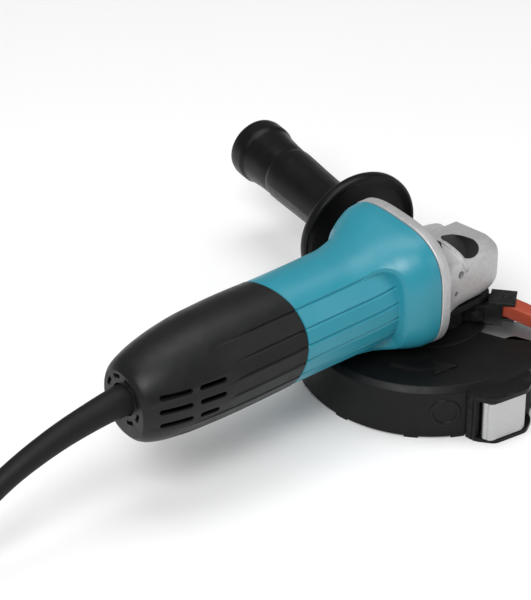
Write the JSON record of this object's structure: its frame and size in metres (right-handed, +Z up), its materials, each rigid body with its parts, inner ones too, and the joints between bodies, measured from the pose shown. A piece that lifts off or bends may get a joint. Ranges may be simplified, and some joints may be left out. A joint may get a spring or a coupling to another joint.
{
  "type": "angle grinder",
  "caption": "Corded angle grinder with round body, cast gear head, swivelling wheel guard with clip-on cover, disc-flanged side handle, slide switch, spindle lock, and coiled cord with plug.",
  "frame": {"origin": "centre of the spindle's lower end face", "axes": "+X forward along the motor body to the gear head, +Y to the side handle, +Z up along the spindle"},
  "size_m": [0.4844, 0.2457, 0.1004],
  "materials": {
    "teal_housing": "satin moulded glass-filled plastic",
    "black_plastic": "fine moulded texture",
    "black_rubber": "matt",
    "cast_alloy": "bead-blasted die casting",
    "plated_steel": "zinc plated",
    "bright_steel": "ground and polished",
    "black_steel": "black oxide and paint",
    "guard_steel": "light grey coated sheet",
    "red_plastic": "muted red moulding",
    "winding_copper": "varnished copper wire",
    "laminated_iron": "stacked laminations",
    "carbon": "sintered carbon"
  },
  "bodies": {
    "tool": {"motor_housing": "teal_housing", "rear_cover": "black_plastic", "gear_housing": "cast_alloy", "bearing_retainer": "black_steel", "spindle_upper_bearing": "bright_steel", "spindle_lower_bearing": "bright_steel", "spindle_lock_spring": "plated_steel", "field_core": "laminated_iron", "field_coil_upper": "winding_copper", "field_coil_lower": "winding_copper", "armature_front_bearing": "bright_steel", "armature_rear_bearing": "bright_steel", "rear_bearing_sleeve": "black_rubber", "fan_baffle": "black_plastic", "brush_holder_upper": "winding_copper", "brush_spring_upper": "plated_steel", "brush_holder_lower": "winding_copper", "brush_spring_lower": "plated_steel", "switch_body": "black_plastic", "side_handle_grip": "black_plastic", "side_handle_stud": "plated_steel", "strain_relief": "black_rubber", "power_cord": "black_rubber", "cord_coil": "black_rubber", "plug_body": "black_rubber", "plug_pin_1": "plated_steel", "plug_pin_2": "plated_steel", "gear_housing_screw_1": "plated_steel", "retainer_screw_1": "plated_steel", "gear_housing_screw_2": "plated_steel", "retainer_screw_2": "plated_steel", "gear_housing_screw_3": "plated_steel", "retainer_screw_3": "plated_steel", "gear_housing_screw_4": "plated_steel", "retainer_screw_4": "plated_steel"},
    "spindle_group": {"spindle": "bright_steel", "bevel_gear": "laminated_iron", "inner_flange": "plated_steel", "lock_nut": "black_steel"},
    "armature": {"armature_shaft": "bright_steel", "armature_core": "laminated_iron", "armature_winding_rear": "winding_copper", "armature_winding_front": "winding_copper", "commutator": "winding_copper", "cooling_fan": "black_plastic", "bevel_pinion": "bright_steel"},
    "guard": {"wheel_guard": "guard_steel", "guard_collar": "black_steel", "guard_clamp_band": "black_steel", "clamp_bolt": "plated_steel", "lever_pin": "plated_steel", "guard_cover": "black_plastic", "clip_pin": "plated_steel"},
    "lever": {"clamp_lever": "red_plastic"},
    "clip": {"cover_clip": "plated_steel"},
    "switch_slide": {"switch_slider": "black_plastic", "switch_rod": "black_plastic"},
    "spindle_lock": {"spindle_lock_button": "black_plastic"},
    "brush_upper": {"carbon_brush_upper": "carbon"},
    "brush_lower": {"carbon_brush_lower": "carbon"}
  },
  "joints": [
    {"name": "armature_spin", "type": "hinge", "parent": "tool", "child": "armature", "pos_m": [-0.08, 0, 0.058], "axis": [1, 0, 0], "continuous": true},
    {"name": "spindle_spin", "type": "hinge", "parent": "tool", "child": "spindle_group", "pos_m": [0, 0, 0.028], "axis": [0, 0, 1], "continuous": true},
    {"name": "guard_swivel", "type": "hinge", "parent": "tool", "child": "guard", "pos_m": [0, 0, 0.03], "axis": [0, 0, 1], "range_deg": [-15, 60]},
    {"name": "clamp_lever_swing", "type": "hinge", "parent": "guard", "child": "lever", "pos_m": [0.0277, -0.03077, 0.0342], "axis": [0, 0, 1], "range_deg": [0, 95]},
    {"name": "cover_clip_swing", "type": "hinge", "parent": "guard", "child": "clip", "pos_m": [-0.02178, -0.07308, 0.0085], "axis": [0, 0, -1], "range_deg": [0, 75]},
    {"name": "switch_travel", "type": "slide", "parent": "tool", "child": "switch_slide", "axis": [1, 0, 0], "range_m": [0, 0.006]},
    {"name": "spindle_lock_press", "type": "slide", "parent": "tool", "child": "spindle_lock", "axis": [0, 0, -1], "range_m": [0, 0.0022], "stiffness_N_per_m": 1500, "springref_m": -0.001, "deforming": ["spindle_lock_spring"]},
    {"name": "brush_upper_slide", "type": "slide", "parent": "tool", "child": "brush_upper", "axis": [0, 0, 1], "range_m": [0, 0.001], "stiffness_N_per_m": 400, "springref_m": -0.005, "deforming": ["brush_spring_upper"]},
    {"name": "brush_lower_slide", "type": "slide", "parent": "tool", "child": "brush_lower", "axis": [0, 0, -1], "range_m": [0, 0.001], "stiffness_N_per_m": 400, "springref_m": -0.005, "deforming": ["brush_spring_lower"]}
  ],
  "couplings": [
    {"joint": "spindle_spin", "follows": "armature_spin", "ratio": -0.29412}
  ]
}
